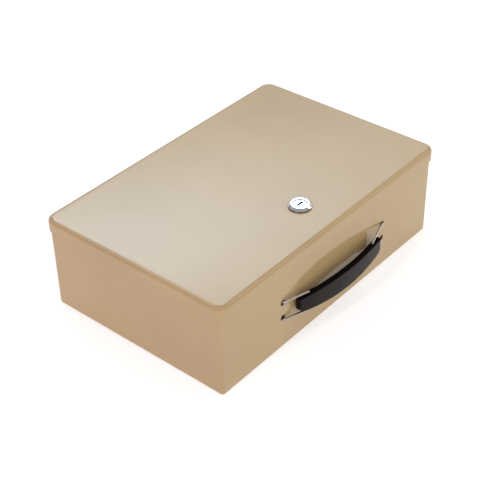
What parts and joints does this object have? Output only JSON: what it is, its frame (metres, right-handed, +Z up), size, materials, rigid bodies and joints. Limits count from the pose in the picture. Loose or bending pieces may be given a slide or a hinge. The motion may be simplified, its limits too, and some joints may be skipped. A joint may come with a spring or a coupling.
{
  "type": "fireproof document box",
  "caption": "Rectangular double-walled steel fireproof document box with a hinged lid, a cam lock in the lid and a folding carrying handle on wire links.",
  "frame": {"origin": "centre of the case's flat base, on the surface it stands on", "axes": "+X along the front to the right, -Y out of the front with the handle, +Z up to the lid"},
  "size_m": [0.325, 0.2267, 0.1027],
  "materials": {
    "tan_enamel": "gloss",
    "liner_enamel": "satin",
    "insulation_board": "matte",
    "chrome": "polished",
    "zinc_steel": "satin",
    "nickel_wire": "bright",
    "brass": "satin",
    "grip_plastic": "satin"
  },
  "bodies": {
    "case": {"case_shell": "tan_enamel", "case_liner": "liner_enamel", "insulation_base": "insulation_board", "insulation_front": "insulation_board", "insulation_back": "insulation_board", "insulation_left": "insulation_board", "insulation_right": "insulation_board", "latch_strike": "zinc_steel", "strike_rivet_left": "zinc_steel", "strike_rivet_right": "zinc_steel", "hinge_leaf_case": "tan_enamel", "hinge_pin": "zinc_steel", "case_rivet_1": "zinc_steel", "case_rivet_2": "zinc_steel", "case_rivet_3": "zinc_steel", "case_rivet_4": "zinc_steel"},
    "lid": {"lid_shell": "tan_enamel", "lid_liner": "liner_enamel", "insulation_lid": "insulation_board", "hinge_leaf_lid": "tan_enamel", "lid_rivet_1": "zinc_steel", "lid_rivet_2": "zinc_steel", "lid_rivet_3": "zinc_steel", "lid_rivet_4": "zinc_steel", "lock_housing": "chrome", "lock_washer": "zinc_steel", "lock_nut": "zinc_steel"},
    "plug": {"lock_plug": "chrome", "lock_cam": "zinc_steel", "cam_screw": "zinc_steel", "wafer_spring_1": "zinc_steel", "wafer_spring_2": "zinc_steel", "wafer_spring_3": "zinc_steel", "wafer_spring_4": "zinc_steel", "wafer_spring_5": "zinc_steel"},
    "wafer_1": {"wafer_1": "brass"},
    "wafer_2": {"wafer_2": "brass"},
    "wafer_3": {"wafer_3": "brass"},
    "wafer_4": {"wafer_4": "brass"},
    "wafer_5": {"wafer_5": "brass"},
    "left_link": {"handle_link_left": "nickel_wire"},
    "grip": {"handle_grip": "grip_plastic"},
    "right_link": {"handle_link_right": "nickel_wire"}
  },
  "joints": [
    {"name": "lid_hinge", "type": "hinge", "parent": "case", "child": "lid", "pos_m": [0, 0.1059, 0.0835], "axis": [-1, 0, 0], "range_deg": [0, 170]},
    {"name": "lock_turn", "type": "hinge", "parent": "lid", "child": "plug", "pos_m": [-0.0025, -0.0652, 0.0993], "axis": [0, 0, -1], "range_deg": [0, 90]},
    {"name": "wafer_1_slide", "type": "slide", "parent": "plug", "child": "wafer_1", "axis": [-1, 0, 0], "range_m": [0, 0.0008], "deforming": ["wafer_spring_1"]},
    {"name": "wafer_2_slide", "type": "slide", "parent": "plug", "child": "wafer_2", "axis": [-1, 0, 0], "range_m": [0, 0.0008], "deforming": ["wafer_spring_2"]},
    {"name": "wafer_3_slide", "type": "slide", "parent": "plug", "child": "wafer_3", "axis": [-1, 0, 0], "range_m": [0, 0.0008], "deforming": ["wafer_spring_3"]},
    {"name": "wafer_4_slide", "type": "slide", "parent": "plug", "child": "wafer_4", "axis": [-1, 0, 0], "range_m": [0, 0.0008], "deforming": ["wafer_spring_4"]},
    {"name": "wafer_5_slide", "type": "slide", "parent": "plug", "child": "wafer_5", "axis": [-1, 0, 0], "range_m": [0, 0.0008], "deforming": ["wafer_spring_5"]},
    {"name": "left_link_swing", "type": "hinge", "parent": "case", "child": "left_link", "pos_m": [-0.0761, -0.1033, 0.04], "axis": [0, 0, 1], "range_deg": [-6.9, 1.9]},
    {"name": "grip_pivot", "type": "hinge", "parent": "left_link", "child": "grip", "pos_m": [-0.04656, -0.11042, 0.04], "axis": [0, 0, 1], "range_deg": [-3.09, 11.15]},
    {"name": "right_link_swing", "type": "hinge", "parent": "case", "child": "right_link", "pos_m": [0.0775, -0.1033, 0.04], "axis": [0, 0, 1], "range_deg": [-6.9, 1.9]}
  ],
  "couplings": [
    {"joint": "grip_pivot", "follows": "left_link_swing", "ratio": -1.6134},
    {"joint": "right_link_swing", "follows": "left_link_swing", "ratio": 1}
  ]
}
